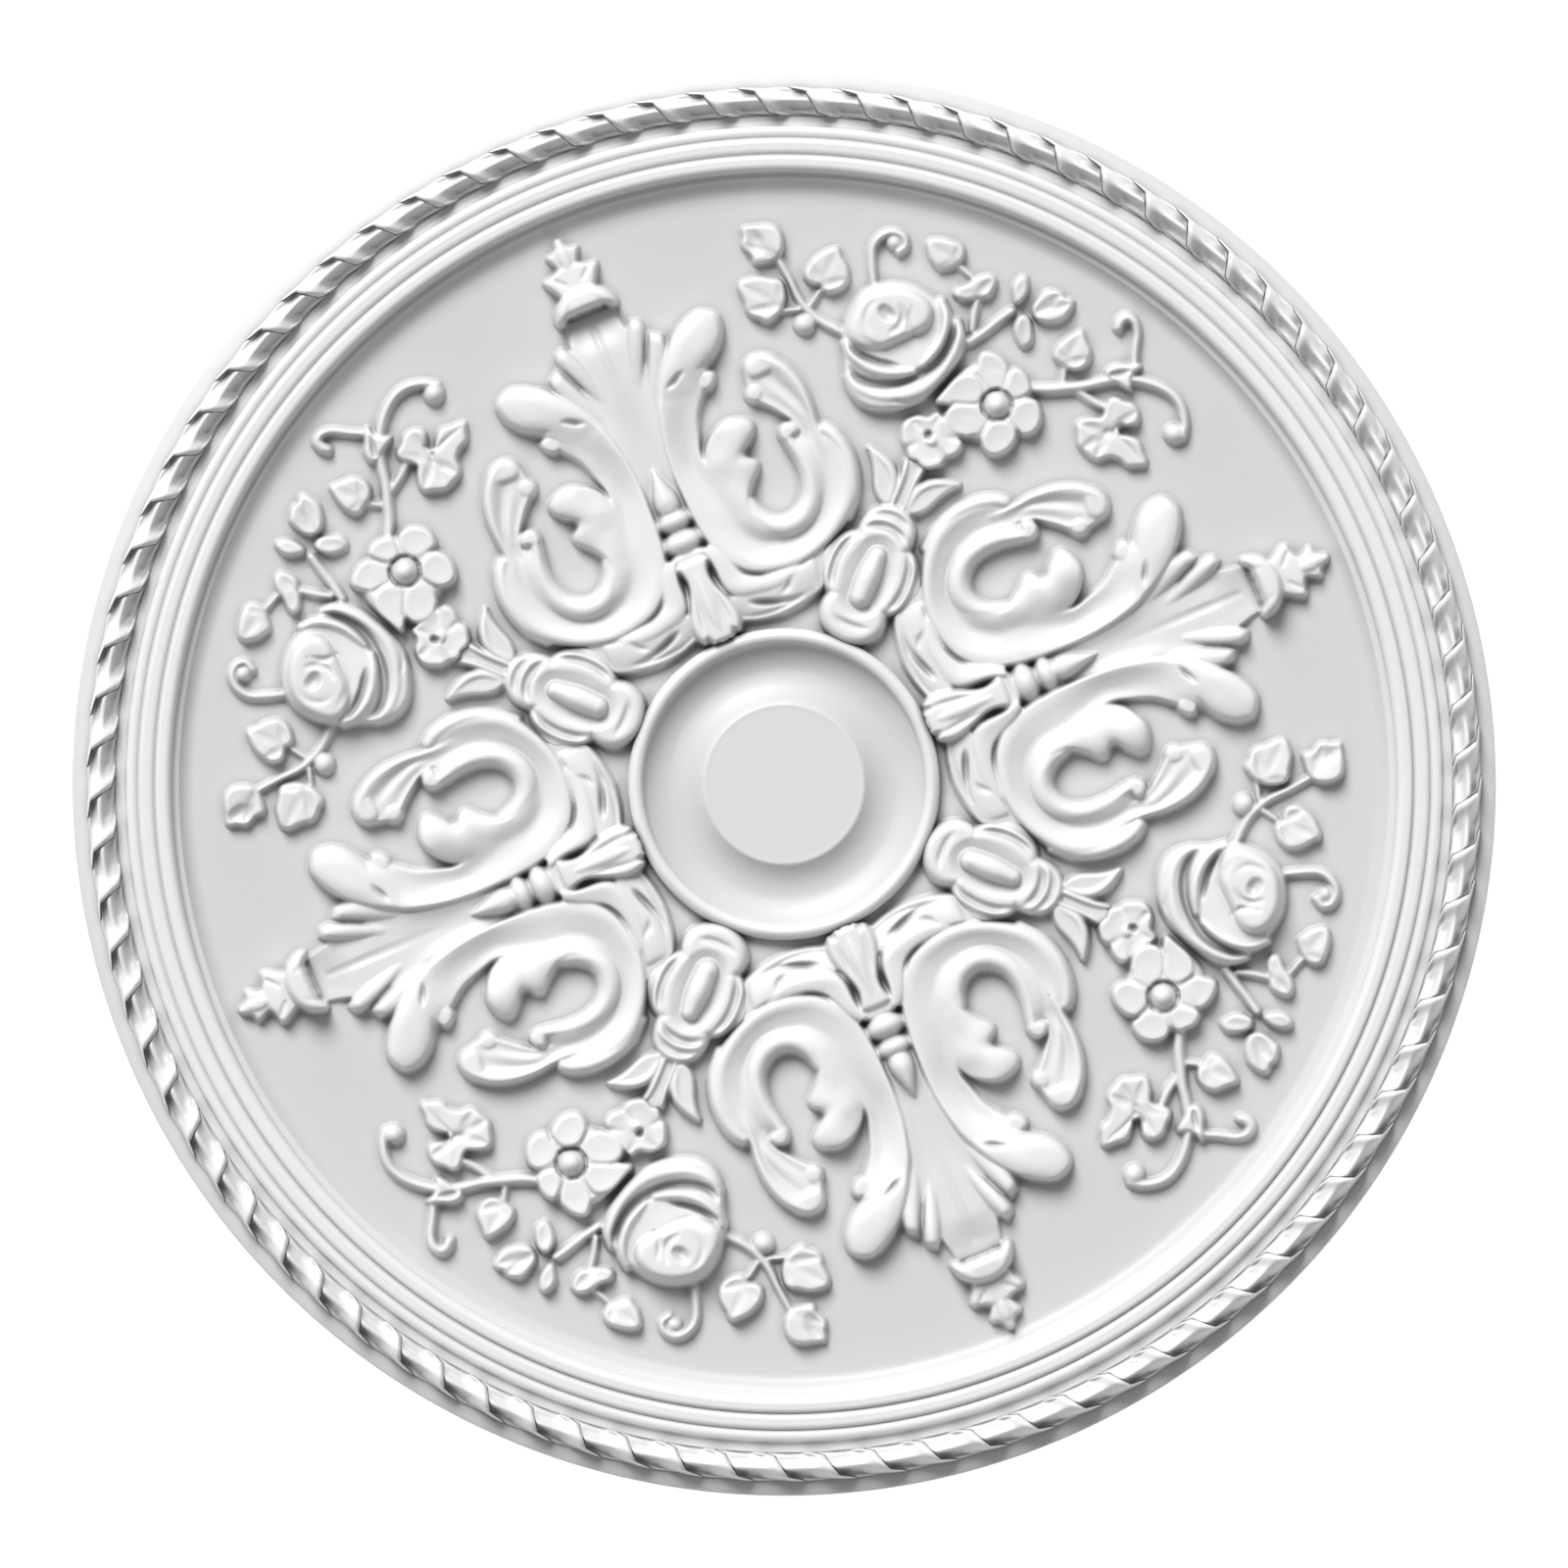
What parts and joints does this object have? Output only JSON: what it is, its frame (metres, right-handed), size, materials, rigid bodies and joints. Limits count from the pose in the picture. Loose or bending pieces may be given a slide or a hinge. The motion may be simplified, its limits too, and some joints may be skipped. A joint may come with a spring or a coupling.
{
  "type": "ceiling rose",
  "caption": "Round ceiling rose with a rope-twist rim, acanthus scrolls, rose sprays, ringed quatrefoils and a dished centre with a flat disc for a lamp's canopy.",
  "frame": {"origin": "centre of the flat back, on the face that meets the ceiling", "axes": "+Z out of the back through the carved face, away from the ceiling in use; the part is stored lying on its back, and is turned face down to be fixed; X and Y lie in the back, with the picture's right as +X and its top as +Y"},
  "size_m": [0.832, 0.832, 0.04],
  "materials": {
    "white_casting": "factory-primed matt to satin white over dense moulded foam"
  },
  "bodies": {
    "root": {"ceiling_rose": "white_casting"}
  },
  "joints": []
}
